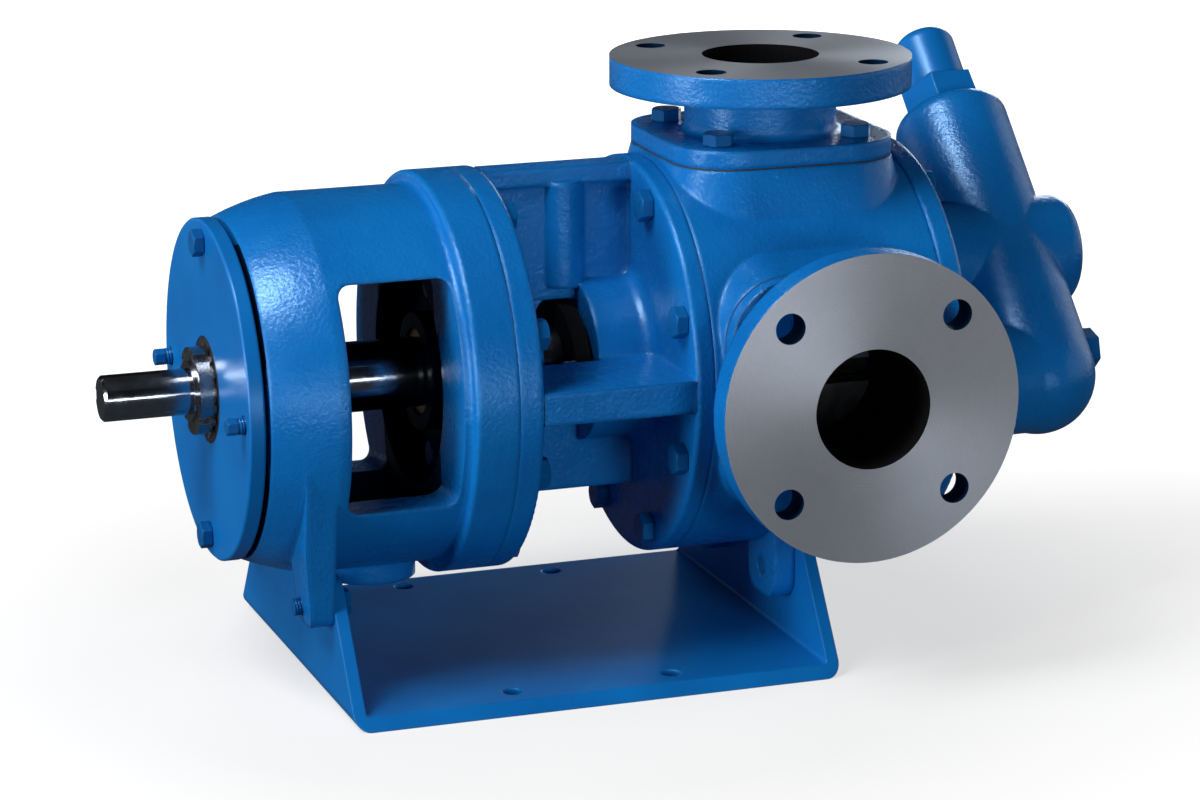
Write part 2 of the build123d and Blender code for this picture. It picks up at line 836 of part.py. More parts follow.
# ---------------------------------------------------------------- casing
with BuildPart() as casing:
    with BuildSketch(across(casing_rear)):
        Circle(casing_radius)
    extrude(amount=casing_length)
    for direction in HEAD_PLANES.values():
        with BuildSketch(port_plane(direction, boss_height)):
            RectangleRounded(2 * boss_half, 2 * boss_half, boss_corner)
        extrude(amount=-(boss_height - boss_half), taper=-boss_draft)
    with BuildSketch(across(casing_rear)):
        Circle(2 * casing_radius)
    extrude(amount=casing_length, mode=Mode.INTERSECT)
    foot_front = base_front - plate - seat_gap
    with BuildSketch(across(foot_front)):
        foot_middle = -(casing_foot_bottom + casing_foot_root) / 2
        with Locations(*[(side * casing_foot_y, foot_middle) for side in (-1, 1)]):
            foot_height = casing_foot_bottom - casing_foot_root
            RectangleRounded(casing_foot_width, foot_height, casing_foot_corner)
    extrude(amount=-foot_thickness)
    with BuildSketch(across(foot_front)):
        with Locations(*casing_foot_spots):
            Circle(m12[0] + seat_gap)
    extrude(amount=-foot_thickness, mode=Mode.SUBTRACT)
    with BuildSketch(across(chamber_rear)):
        Circle(chamber_radius)
    extrude(amount=casing_front - chamber_rear, mode=Mode.SUBTRACT)
    with BuildSketch(across(casing_rear)):
        Circle(rotor_hub_radius + running_gap)
    extrude(amount=chamber_rear - casing_rear, mode=Mode.SUBTRACT)
    for direction in HEAD_PLANES.values():
        with BuildSketch(port_plane(direction, boss_height)):
            Circle(cast_passage)
        extrude(amount=-(boss_height - chamber_radius / 2), mode=Mode.SUBTRACT)
        with BuildSketch(port_plane(direction, boss_height)):
            with Locations(*port_spots):
                Circle(m14[0] + seat_gap)
        extrude(amount=-thread_grip, mode=Mode.SUBTRACT)
    for station, depth in ((casing_front, -thread_grip), (casing_rear, thread_grip)):
        with BuildSketch(across(station)):
            with Locations(*casting_spots):
                Circle(m14[0] + seat_gap)
        extrude(amount=depth, mode=Mode.SUBTRACT)
save(casing.part, "casing")

foot_grip = plate + foot_thickness
save(hex_bolts(across(base_front), casing_foot_spots, m12, foot_grip), "casing_foot_bolts")
save(
    hex_bolts(
        across(base_rear + plate), bracket_foot_spots, m12, plate + bracket_foot_depth + 1
    ),
    "bracket_foot_bolts",
)

# ---------------------------------------------------------------- ports
for name, direction in HEAD_PLANES.items():
    with BuildPart() as port_flange:
        with BuildSketch(port_plane(direction, boss_height + gasket)):
            RectangleRounded(2 * boss_half, 2 * boss_half, boss_corner)
        extrude(amount=plate_thickness)
        with BuildSketch(port_plane(direction, plate_top)):
            Circle(neck_radius)
        extrude(amount=flange_face - flange_thickness - plate_top)
        fillet(
            port_flange.edges()
            .filter_by(GeomType.CIRCLE)
            .filter_by(lambda e: abs(e.radius - neck_radius) < 0.01)
            .sort_by_distance((port_x, 0, shaft_height))[0],
            5,
        )
        with BuildSketch(port_plane(direction, flange_face)):
            Circle(flange_radius)
        extrude(amount=-flange_thickness)
        with BuildSketch(port_plane(direction, flange_face)):
            with PolarLocations(flange_pcd / 2, 4, start_angle=45):
                Circle(flange_hole_radius)
        extrude(amount=-flange_thickness, mode=Mode.SUBTRACT)
        with BuildSketch(port_plane(direction, flange_face)):
            Circle(port_bore)
        extrude(amount=-(flange_face - boss_height), mode=Mode.SUBTRACT)
        with BuildSketch(port_plane(direction, plate_top)):
            with Locations(*port_spots):
                Circle(m14[0] + hole_clearance)
        extrude(amount=-plate_thickness, mode=Mode.SUBTRACT)
    save(port_flange.part, f"{name}_port_flange")
    with BuildPart() as port_gasket:
        with BuildSketch(port_plane(direction, boss_height)):
            RectangleRounded(2 * boss_half, 2 * boss_half, boss_corner)
            Circle(cast_passage, mode=Mode.SUBTRACT)
            with Locations(*port_spots):
                Circle(m14[0] + hole_clearance, mode=Mode.SUBTRACT)
        extrude(amount=gasket)
    save(port_gasket.part, f"{name}_port_gasket")
    save(
        hex_bolts(
            port_plane(direction, plate_top),
            port_spots,
            m14,
            plate_thickness + gasket + thread_grip - 2,
        ),
        f"{name}_port_bolts",
    )

# ---------------------------------------------------------------- head
with BuildPart() as head:
    with BuildSketch(across(casing_front)):
        Circle(head_radius)
    extrude(amount=head_thickness)
    fillet(head.edges().sort_by(Axis.X)[-1], rim_edge)
    with BuildSketch(across(spigot_face)):
        Circle(chamber_radius - seat_gap)
    extrude(amount=spigot_depth)
    with BuildSketch(mesh_plane(spigot_face)):
        Circle(post_tip - crescent_clearance)
        with Locations((gear_offset, 0)):
            Circle(idler_tip + crescent_clearance, mode=Mode.SUBTRACT)
        with Locations((post_tip / 2, 0)):
            Rectangle(post_tip, 2 * post_tip, mode=Mode.SUBTRACT)
    extrude(amount=-(spigot_face - disc_front - running_gap))
    with BuildSketch(mesh_plane(spigot_face)):
        with Locations((gear_offset, 0)):
            Circle(idler_pin_radius + fit_gap)
    extrude(amount=idler_pin_depth, mode=Mode.SUBTRACT)
    with BuildSketch(tilted_across(spigot_face)):
        with Locations((0, valve_high_leg), (0, valve_low)):
            Circle(valve_passage)
    extrude(amount=head_front - spigot_face, mode=Mode.SUBTRACT)
    with BuildSketch(across(casing_front)):
        with Locations(*casting_spots):
            Circle(m14[0] + hole_clearance)
    extrude(amount=head_thickness, mode=Mode.SUBTRACT)
    with BuildSketch(tilted_across(head_front)):
        with Locations(*pad_spots):
            Circle(m8[0] + seat_gap)
    extrude(amount=-head_thickness, mode=Mode.SUBTRACT)
save(head.part, "head")
save(
    hex_bolts(across(head_front), casting_spots, m14, head_thickness + thread_grip - 2),
    "head_bolts",
)


# ---------------------------------------------------------------- gears
def involute(base, radius):
    """Involute function of the pressure angle at a radius, in radians."""
    angle = math.acos(min(1.0, base / radius))
    return math.tan(angle) - angle


flank_angle = math.radians(pressure_angle)
pitch_involute = math.tan(flank_angle) - flank_angle
rotor_base = rotor_pitch * math.cos(flank_angle)
idler_base = idler_pitch * math.cos(flank_angle)


def post_half_angle(radius):
    """Half the angle that a rotor tooth fills at a radius."""
    space = math.pi / (2 * rotor_teeth) + pitch_involute - involute(rotor_base, radius)
    return math.pi / rotor_teeth - space - post_play / radius


def tooth_half_angle(radius):
    """Half the angle that an idler tooth fills at a radius."""
    whole = math.pi / (2 * idler_teeth) + pitch_involute - involute(idler_base, radius)
    return whole - tooth_play / radius


def polar(radius, angle):
    """Point at a radius and an angle in radians."""
    return (radius * math.cos(angle), radius * math.sin(angle))


def steps(low, high, count):
    """Evenly spaced values from low to high."""
    return [low + (high - low) * k / (count - 1) for k in range(count)]


slot_half_width = slot_start_radius * math.sin(
    math.pi / rotor_teeth - post_half_angle(slot_start_radius)
)
slot_end_angle = math.pi / rotor_teeth - math.asin(slot_half_width / rotor_radius)
post_flank = [polar(r, post_half_angle(r)) for r in steps(post_tip, slot_start_radius, 5)]
post_corner = polar(rotor_radius, slot_end_angle)
with BuildSketch() as post_profile:
    with BuildLine():
        Spline(*post_flank)
        Line(post_flank[-1], post_corner)
        ThreePointArc(post_corner, (rotor_radius, 0), (post_corner[0], -post_corner[1]))
        Line((post_corner[0], -post_corner[1]), (post_flank[-1][0], -post_flank[-1][1]))
        Spline(*[(x, -y) for x, y in reversed(post_flank)])
        ThreePointArc((post_flank[0][0], -post_flank[0][1]), (post_tip, 0), post_flank[0])
    make_face()
with BuildPart() as rotor:
    with BuildSketch(across(disc_rear)):
        Circle(rotor_radius)
    extrude(amount=rotor_disc)
    with BuildSketch(across(disc_rear)):
        Circle(rotor_hub_radius)
    extrude(amount=-rotor_hub_length)
    with BuildSketch(mesh_plane(disc_front)):
        with PolarLocations(0, rotor_teeth):
            add(post_profile.sketch)
    extrude(amount=tooth_front - disc_front)
    with BuildSketch(across(disc_rear - rotor_hub_length)):
        Circle(shaft_radius + fit_gap)
    extrude(amount=rotor_hub_length + rotor_disc, mode=Mode.SUBTRACT)
save(rotor.part, "rotor")

tooth_flank = [polar(r, tooth_half_angle(r)) for r in steps(idler_base, idler_tip, 5)]
tooth_foot = polar(idler_root - 3, tooth_half_angle(idler_base))
with BuildSketch() as tooth_profile:
    with BuildLine():
        Line(tooth_foot, tooth_flank[0])
        Spline(*tooth_flank)
        ThreePointArc(tooth_flank[-1], (idler_tip, 0), (tooth_flank[-1][0], -tooth_flank[-1][1]))
        Spline(*[(x, -y) for x, y in reversed(tooth_flank)])
        Line((tooth_flank[0][0], -tooth_flank[0][1]), (tooth_foot[0], -tooth_foot[1]))
        Line((tooth_foot[0], -tooth_foot[1]), tooth_foot)
    make_face()
idler_rear = disc_front + running_gap
with BuildPart() as idler_gear:
    with BuildSketch(mesh_plane(idler_rear)):
        with Locations((gear_offset, 0)):
            Circle(idler_root)
            with PolarLocations(0, idler_teeth, start_angle=180 / idler_teeth):
                add(tooth_profile.sketch)
            Circle(idler_bore, mode=Mode.SUBTRACT)
    extrude(amount=tooth_front - idler_rear)
save(idler_gear.part, "idler_gear")
with BuildPart() as idler_bushing:
    with BuildSketch(mesh_plane(idler_rear)):
        with Locations((gear_offset, 0)):
            Circle(idler_bore - fit_gap)
            Circle(idler_pin_radius + fit_gap, mode=Mode.SUBTRACT)
    extrude(amount=tooth_front - idler_rear)
save(idler_bushing.part, "idler_bushing")
with BuildPart() as idler_pin:
    with BuildSketch(mesh_plane(idler_rear)):
        with Locations((gear_offset, 0)):
            Circle(idler_pin_radius)
    extrude(amount=spigot_face + idler_pin_depth - idler_rear)
save(idler_pin.part, "idler_pin")

# ---------------------------------------------------------------- relief valve
plug_face = valve_x + plug_seat
with BuildPart() as valve_body:
    with BuildSketch(VALVE_PROFILE):
        with BuildLine():
            ThreePointArc(
                (0, valve_low - valve_radius),
                (valve_radius / math.sqrt(2), valve_low - valve_radius / math.sqrt(2)),
                (valve_radius, valve_low),
            )
            Line((valve_radius, valve_low), (valve_radius, valve_top - valve_top_blend))
            JernArc((valve_radius, valve_top - valve_top_blend), (0, 1), valve_top_blend, 90)
            Line((valve_radius - valve_top_blend, valve_top), (0, valve_top))
            Line((0, valve_top), (0, valve_low - valve_radius))
        make_face()
    revolve(axis=VALVE_AXIS)
    with BuildSketch(tilted_across(head_front)):
        with Locations((0, valve_high_leg)):
            Circle(valve_leg_radius)
    extrude(amount=valve_high_leg_end - head_front)
    fillet(valve_body.edges().filter_by(GeomType.CIRCLE).sort_by(Axis.X)[-1], valve_leg_blend)
    with BuildSketch(tilted_across(head_front)):
        with Locations((0, valve_low)):
            Circle(valve_leg_radius)
    extrude(amount=valve_x - head_front)
    with BuildSketch(tilted_across(head_front)):
        with Locations((0, (valve_high_leg + valve_low) / 2)):
            RectangleRounded(valve_pad_width, valve_pad_length, valve_pad_corner)
    extrude(amount=valve_pad_thickness)
    with BuildSketch(valve_plane(valve_low)):
        Circle(valve_seat_radius)
    extrude(amount=valve_top - valve_low, mode=Mode.SUBTRACT)
    with BuildSketch(valve_plane(valve_seat)):
        Circle(valve_bore)
    extrude(amount=valve_top - valve_seat, mode=Mode.SUBTRACT)
    with BuildSketch(tilted_across(head_front)):
        with Locations((0, valve_high_leg), (0, valve_low)):
            Circle(valve_passage)
    extrude(amount=valve_x - head_front, mode=Mode.SUBTRACT)
    with BuildSketch(tilted_across(head_front)):
        with Locations(*pad_spots):
            Circle(m8[0] + hole_clearance)
    extrude(amount=valve_pad_thickness, mode=Mode.SUBTRACT)
    with BuildSketch(tilted_across(valve_x)):
        with Locations((0, valve_plug_height)):
            Circle(plug_shank + seat_gap)
    extrude(amount=valve_radius, mode=Mode.SUBTRACT)
    with BuildSketch(tilted_across(plug_face)):
        with Locations((0, valve_plug_height)):
            Circle(plug_flats / math.sqrt(3) + 0.6)
    extrude(amount=valve_radius, mode=Mode.SUBTRACT)
save(valve_body.part, "valve_body")
save(
    hex_bolts(
        tilted_across(head_front + valve_pad_thickness),
        pad_spots,
        m8,
        valve_pad_thickness + head_thickness - 1,
    ),
    "valve_screws",
)
save(
    hex_bolts(
        tilted_across(plug_face),
        [(0, valve_plug_height)],
        (plug_shank, plug_flats, plug_height),
        plug_face - valve_x - valve_seat_radius,
    ),
    "valve_drain_plug",
)

# poppet, resting on its seat
with BuildPart() as poppet:
    with BuildSketch(VALVE_PROFILE):
        with BuildLine():
            Polyline(
                (0, valve_seat - poppet_nose),
                (valve_seat_radius - running_gap - 4, valve_seat - poppet_nose),
                (valve_seat_radius - running_gap, valve_seat - running_gap),
                (valve_seat_radius - running_gap, valve_seat + running_gap / 3),
                (valve_bore - running_gap, valve_seat + running_gap / 3),
                (valve_bore - running_gap, valve_seat + poppet_length),
                (spring_coil_radius - spring_wire - 2, valve_seat + poppet_length),
                (spring_coil_radius - spring_wire - 2, valve_seat + poppet_length + poppet_guide),
                (0, valve_seat + poppet_length + poppet_guide),
                close=True,
            )
        make_face()
    revolve(axis=VALVE_AXIS)
save(poppet.part, "poppet")

spring_low = valve_seat + poppet_length + seat_gap
spring_length = spring_seat_low - spring_low - seat_gap - 2 * spring_wire
with BuildPart() as relief_spring:
    with BuildLine() as coil:
        Helix(
            spring_length / spring_turns,
            spring_length,
            spring_coil_radius,
            center=valve_plane(spring_low + spring_wire).origin,
            direction=(0, 1, 1),
        )
    with BuildSketch(Plane(coil.line @ 0, z_dir=coil.line % 0)):
        RegularPolygon(spring_wire, 6)
    sweep(path=coil.line, is_frenet=True)
save(relief_spring.part, "relief_spring")

with BuildPart() as spring_seat:
    with BuildSketch(valve_plane(spring_seat_low)):
        Circle(valve_bore - running_gap)
    extrude(amount=spring_seat_thickness)
    with BuildSketch(valve_plane(spring_seat_low)):
        Circle(spring_coil_radius - spring_wire - 2)
    extrude(amount=-poppet_guide)
save(spring_seat.part, "spring_seat")
screw_low = spring_seat_low + spring_seat_thickness
screw_end = cap_end - cap_wall - cap_blend / 2 - adjuster_travel - 2
with BuildPart() as adjusting_screw:
    with BuildSketch(valve_plane(screw_low)):
        Circle(adjuster_radius)
    extrude(amount=screw_end - screw_low)
    chamfer(adjusting_screw.faces().sort_by(VALVE_AXIS)[-1].edges(), 1.5)
save(adjusting_screw.part, "adjusting_screw")

# bonnet screwed into the body, with the cap over the end of the adjusting screw
with BuildPart() as bonnet:
    with BuildSketch(valve_plane(valve_top)):
        RegularPolygon(bonnet_flats / 2, 6, major_radius=False)
    extrude(amount=bonnet_height)
    with BuildSketch(valve_plane(valve_top)):
        Circle(valve_bore - seat_gap)
    extrude(amount=-bonnet_spigot_length)
    with BuildSketch(valve_plane(valve_top - bonnet_spigot_length)):
        Circle(adjuster_radius + running_gap)
    extrude(amount=bonnet_height + bonnet_spigot_length, mode=Mode.SUBTRACT)
save(bonnet.part, "valve_bonnet")
cap_low = valve_top + bonnet_height
with BuildPart() as cap:
    with BuildSketch(valve_plane(cap_low)):
        Circle(cap_radius)
    extrude(amount=cap_end - cap_low)
    fillet(cap.faces().sort_by(VALVE_AXIS)[-1].edges(), cap_blend)
    with BuildSketch(valve_plane(cap_low)):
        Circle(cap_radius - cap_wall)
    extrude(amount=cap_end - cap_low - cap_wall - cap_blend / 2, mode=Mode.SUBTRACT)
save(cap.part, "valve_cap")
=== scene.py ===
"""Looks of the flanged gear pump: materials, fasteners, spring, light and camera."""

import json
import math

import bmesh
import bpy
from mathutils import Matrix, Vector


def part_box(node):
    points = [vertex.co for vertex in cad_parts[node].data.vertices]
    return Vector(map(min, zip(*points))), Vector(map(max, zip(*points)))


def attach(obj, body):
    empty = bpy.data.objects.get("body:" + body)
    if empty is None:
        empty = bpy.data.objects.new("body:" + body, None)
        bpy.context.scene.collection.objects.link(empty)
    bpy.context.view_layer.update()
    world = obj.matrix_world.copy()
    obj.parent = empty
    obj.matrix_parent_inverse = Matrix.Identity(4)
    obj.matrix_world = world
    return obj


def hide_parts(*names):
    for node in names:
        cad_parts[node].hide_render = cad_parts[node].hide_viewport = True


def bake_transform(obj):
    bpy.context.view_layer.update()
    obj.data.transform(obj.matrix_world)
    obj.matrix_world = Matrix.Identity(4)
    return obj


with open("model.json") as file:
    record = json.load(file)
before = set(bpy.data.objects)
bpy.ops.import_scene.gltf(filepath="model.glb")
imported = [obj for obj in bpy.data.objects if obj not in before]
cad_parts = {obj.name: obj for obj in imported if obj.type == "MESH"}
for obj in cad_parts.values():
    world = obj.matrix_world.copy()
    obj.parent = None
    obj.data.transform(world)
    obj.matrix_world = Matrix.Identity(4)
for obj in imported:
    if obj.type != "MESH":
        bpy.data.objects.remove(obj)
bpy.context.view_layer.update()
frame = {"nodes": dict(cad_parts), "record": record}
nodes = frame["nodes"]
mounts = {mount["name"]: mount for mount in frame["record"]["mounts"]}
MM = 0.001

# The ports' crossing point on the shaft axis, and the main directions.
CENTRE = Vector(
    (mounts["top_port_bolts"]["pos_m"][0], 0, mounts["shaft_end"]["pos_m"][2])
)
UP = Vector((0, 0, 1))
NEAR = Vector((0, -1, 0))
HEADWARD = Vector((1, 0, 0))
REARWARD = Vector((-1, 0, 0))
VALVE_AXIS = Vector((0, 1, 1)).normalized()


# ------------------------------------------------------------------ node helpers
def rgba(red, green, blue):
    """An opaque colour in linear light."""
    return (red, green, blue, 1.0)


def shaded(colour, factor):
    """A colour made darker or lighter by a factor."""
    return rgba(*[channel * factor for channel in colour[:3]])


class Tree:
    """The node tree of a material or of the world, built by short calls."""

    def __init__(self, owner):
        owner.use_nodes = True
        self.owner = owner
        self.tree = owner.node_tree
        self.tree.nodes.clear()
        self.coordinates = None

    @property
    def place(self):
        """The object's own coordinates, from one node that all textures share."""
        if self.coordinates is None:
            self.coordinates = self.add("ShaderNodeTexCoord").outputs["Object"]
        return self.coordinates

    def add(self, kind, inputs=None, **settings):
        """A node with its settings; inputs maps sockets to values or other sockets."""
        node = self.tree.nodes.new(kind)
        for key, value in settings.items():
            setattr(node, key, value)
        for key, value in (inputs or {}).items():
            if isinstance(value, bpy.types.NodeSocket):
                self.tree.links.new(value, node.inputs[key])
            else:
                node.inputs[key].default_value = value
        return node

    def noise(self, scale, detail=3.0, rough=0.5):
        """Noise value over the object's own coordinates, in features per metre."""
        inputs = {
            "Scale": scale,
            "Detail": detail,
            "Roughness": rough,
            "Vector": self.place,
        }
        return self.add("ShaderNodeTexNoise", inputs).outputs["Fac"]

    def span(self, value, low, high, new_low, new_high):
        """Maps a value from one range to another, clamped."""
        inputs = {
            "Value": value,
            "From Min": low,
            "From Max": high,
            "To Min": new_low,
            "To Max": new_high,
        }
        return self.add("ShaderNodeMapRange", inputs).outputs["Result"]

    def math(self, operation, first, second):
        """A math node's value."""
        inputs = {0: first, 1: second}
        return self.add("ShaderNodeMath", inputs, operation=operation).outputs[0]

    def vector_math(self, operation, *values):
        """A vector math node."""
        inputs = dict(enumerate(values))
        return self.add("ShaderNodeVectorMath", inputs, operation=operation)

    def mix(self, factor, first, second):
        """Two colours mixed by a factor."""
        inputs = {0: factor, 6: first, 7: second}
        return self.add("ShaderNodeMix", inputs, data_type="RGBA").outputs[2]

    def bump(self, height, distance, strength, normal=None):
        """A bump of a height field, distance in metres."""
        inputs = {"Height": height, "Distance": distance, "Strength": strength}
        if normal:
            inputs["Normal"] = normal
        return self.add("ShaderNodeBump", inputs).outputs["Normal"]

    def spoke(self, centre, axis):
        """The arm to a point from the line through centre along a row axis."""
        flat = [0.0 if abs(a) > 0.5 else 1.0 for a in axis]
        arm = self.vector_math("ADD", self.place, tuple(-c for c in centre)).outputs[0]
        return self.vector_math("MULTIPLY", arm, flat).outputs[0]

    def radius_from(self, centre, axis):
        """Distance of a point from that line."""
        return self.vector_math("LENGTH", self.spoke(centre, axis)).outputs["Value"]

    def rounded(self, radius):
        """Normals of edges softened over a radius in metres."""
        bevel = self.add("ShaderNodeBevel", {"Radius": radius}, samples=6)
        return bevel.outputs["Normal"]

    def seen(self):
        """1 on rays that look at the studio, straight or in gloss or glass, else 0."""
        path = self.add("ShaderNodeLightPath").outputs
        direct = self.math("MAXIMUM", path["Is Camera Ray"], path["Is Glossy Ray"])
        return self.math("MAXIMUM", direct, path["Is Transmission Ray"])

    def surface(self, **inputs):
        """The principled surface and the output."""
        names = {
            key.replace("_", " ").title().replace("Ior", "IOR"): value
            for key, value in inputs.items()
        }
        shader = self.add("ShaderNodeBsdfPrincipled", names)
        self.add("ShaderNodeOutputMaterial", {"Surface": shader.outputs[0]})


def material_tree(name):
    """The tree of a new material."""
    return Tree(bpy.data.materials.new(name))


# ------------------------------------------------------------------ materials
BLUE = rgba(0.0030, 0.150, 0.470)
DEEP_BLUE = rgba(0.0025, 0.120, 0.400)
PALE_BLUE = rgba(0.0060, 0.180, 0.520)
SHEEN_TINT = rgba(0.50, 0.76, 1.0)
PAINT_SPECULAR = 0.45

# noise scales of the paint, in features per metre
PAINT_CLOUDS = 14
PAINT_GLOSS = 60
CAST_WAVES = 90
CAST_GRAIN = 430


def paint(name, grain, lumps, edge, roughness, dim=1.0, speck=0.15, uneven=1.0):
    """Blue enamel over a cast skin.

    grain and lumps are the depths of the skin's fine and coarse relief, edge is the
    radius that edges look rounded to, dim darkens the colour, speck is the share of
    pale specks, and uneven is how much the gloss changes from place to place.
    """
    t = material_tree(name)
    cloud = t.noise(PAINT_CLOUDS, 4)
    fine = t.noise(CAST_GRAIN, 3, 0.55)
    wave = t.noise(CAST_WAVES, 3)
    deep, blue, pale = [shaded(tone, dim) for tone in (DEEP_BLUE, BLUE, PALE_BLUE)]
    tone = t.mix(t.span(cloud, 0.35, 0.65, 0.0, 1.0), deep, blue)
    tone = t.mix(t.span(fine, 0.60, 0.80, 0.0, speck), tone, pale)
    skin = t.bump(wave, lumps, 0.4, t.rounded(edge))
    skin = t.bump(fine, grain, 0.5, skin)
    glossy, matt = roughness - 0.03 * uneven, roughness + 0.05 * uneven
    t.surface(
        base_color=tone,
        roughness=t.span(t.noise(PAINT_GLOSS, 2), 0.3, 0.7, glossy, matt),
        normal=skin,
        specular_ior_level=PAINT_SPECULAR * dim,
        specular_tint=SHEEN_TINT,
    )
    return t.owner


RINGS_PER_METRE = 1500
RING_DEPTH = 0.00003


def turned_metal(name, centre, axis, light):
    """A faced surface: fine rings about a centre stretch its sheen."""
    t = material_tree(name)
    radius = t.radius_from(centre, axis)
    rings = t.add(
        "ShaderNodeTexNoise",
        {"W": t.math("MULTIPLY", radius, RINGS_PER_METRE), "Detail": 3.0, "Scale": 1.0},
        noise_dimensions="1D",
    ).outputs["Fac"]
    cloud = t.noise(22, 4, 0.6)
    grain = t.noise(900, 2)
    pale = rgba(light * 1.08, light * 1.06, light * 1.08)
    dark = rgba(light * 0.80, light * 0.80, light * 0.84)
    tone = t.mix(t.span(cloud, 0.3, 0.7, 0.0, 0.35), pale, dark)
    tone = t.mix(t.span(rings, 0.3, 0.7, 0.0, 0.45), tone, dark)
    t.surface(
        base_color=t.mix(t.span(grain, 0.35, 0.7, 0.0, 0.25), tone, dark),
        metallic=1.0,
        roughness=0.40,
        anisotropic=0.45,
        tangent=t.vector_math("NORMALIZE", t.spoke(centre, axis)).outputs[0],
        normal=t.bump(rings, RING_DEPTH, 0.5),
    )
    return t.owner


SCRATCH_DEPTH = 0.00001


def plain_metal(name, colour, roughness):
    """Bare metal with light handling marks."""
    t = material_tree(name)
    wear = t.noise(120, 5, 0.6)
    marks = t.noise(1500, 2)
    worn = t.span(wear, 0.35, 0.7, 0.0, 1.0)
    t.surface(
        base_color=t.mix(worn, shaded(colour, 0.8), rgba(*colour)),
        metallic=1.0,
        roughness=t.span(wear, 0.3, 0.7, roughness * 0.8, roughness * 1.3),
        normal=t.bump(marks, SCRATCH_DEPTH, 0.4),
    )
    return t.owner


DULL_GRAIN_DEPTH = 0.0002


def dull(name, colour, roughness, scale=500, shine=0.5):
    """Rubber, packing, gasket or raw iron: a matt skin with a fine grain."""
    t = material_tree(name)
    fine = t.noise(scale, 4)
    patch = t.span(fine, 0.35, 0.65, 0.0, 1.0)
    t.surface(
        base_color=t.mix(patch, shaded(colour, 0.6), rgba(*colour)),
        roughness=roughness,
        specular_ior_level=shine,
        normal=t.bump(fine, DULL_GRAIN_DEPTH, 0.5),
    )
    return t.owner


PAINT_CAST = paint(
    "paint_cast", grain=0.00070, lumps=0.0009, edge=0.004, roughness=0.27
)
PAINT_PLATE = paint(
    "paint_plate",
    grain=0.000004,
    lumps=0.00006,
    edge=0.0015,
    roughness=0.30,
    speck=0.0,
    uneven=0.1,
)
# Near-black blue, painted shade for hollows: the bracket's inside, the adapter's
# closing face, the bushing housing and the flanges' bolt holes.
PAINTED_SHADE = paint(
    "painted_shade", grain=0.00030, lumps=0.0009, edge=0.002, roughness=0.45, dim=0.10
)
PAINT_BOLT = paint(
    "paint_bolt", grain=0.00004, lumps=0.0001, edge=0.0006, roughness=0.30, dim=0.65
)
# Bare iron's own dark tone, darkened further to near black as painted shade for the
# bores and the casing's chamber.
RAW_IRON_AND_SHADE = dull("raw_iron_and_painted_shade", (0.004, 0.004, 0.005), 0.85, scale=400, shine=0.06)
SPRING_STEEL = plain_metal("spring_steel", (0.24, 0.24, 0.26), 0.3)
# The same turned metal on both faces, given lit and shaded tones as painted light: the
# top face darker, the side face lighter.
FLANGE_FACE = {
    "top": turned_metal("top_flange_face", CENTRE, UP, 0.46),
    "side": turned_metal("side_flange_face", CENTRE, NEAR, 0.62),
}

SLOT_MATERIALS = {
    "blue_paint": PAINT_CAST,
    "painted_fastener": PAINT_BOLT,
    "flange_casting": PAINT_CAST,
    "ground_steel": plain_metal("ground_steel", (0.46, 0.47, 0.50), 0.14),
    "zinc_steel": plain_metal("zinc_steel", (0.30, 0.29, 0.29), 0.25),
    "bearing_steel": plain_metal("bearing_steel", (0.66, 0.66, 0.68), 0.08),
    "brass": plain_metal("brass", (0.66, 0.46, 0.18), 0.25),
    "spring_steel": SPRING_STEEL,
    "machined_iron": plain_metal("machined_iron", (0.10, 0.10, 0.10), 0.38),
    "bronze": plain_metal("bronze", (0.50, 0.31, 0.15), 0.35),
    "cast_iron": RAW_IRON_AND_SHADE,
    "packing": dull("packing", (0.03, 0.03, 0.03), 0.8),
    "rubber": dull("rubber", (0.012, 0.012, 0.013), 0.5),
    "gasket": dull("gasket", (0.012, 0.016, 0.02), 0.75),
}
for row in frame["record"]["subparts"]:
    slots = nodes[row["node"]].data.materials
    slots.clear()
    slots.append(SLOT_MATERIALS[row["material_slot"]])
for name in ("base_plate", "bearing_carrier", "valve_bonnet", "valve_cap"):
    nodes[name].data.materials[0] = PAINT_PLATE
# The bushing housing, deep in the bracket, painted near black as painted shade.
nodes["bushing_housing"].data.materials[0] = PAINTED_SHADE


# ------------------------------------------------------------------ faces apart
def off_axis(point, centre, axis):
    """Distance of a point from the line through centre along axis."""
    arm = point - centre
    return (arm - axis * arm.dot(axis)).length


def second_material(name, material, chosen):
    """Gives the faces that a test picks, by centre and normal, their own material."""
    mesh = nodes[name].data
    mesh.materials.append(material)
    last = len(mesh.materials) - 1
    for polygon in mesh.polygons:
        if chosen(polygon.center, polygon.normal):
            polygon.material_index = last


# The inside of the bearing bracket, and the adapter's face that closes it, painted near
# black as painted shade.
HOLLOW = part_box("bearing_bracket")[1].y - 39 * MM
ADAPTER_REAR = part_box("adapter")[0].x


def in_bracket(centre, normal):
    """Faces of the bracket's hollow that look along the shaft or towards it."""
    outward = Vector((0, centre.y, centre.z - CENTRE.z)).normalized()
    return off_axis(centre, CENTRE, HEADWARD) < HOLLOW and (
        abs(normal.x) > 0.9 or normal.dot(outward) < -0.5
    )


second_material("bearing_bracket", PAINTED_SHADE, in_bracket)
second_material(
    "adapter", PAINTED_SHADE, lambda c, n: n.x < -0.9 and c.x < ADAPTER_REAR + MM
)
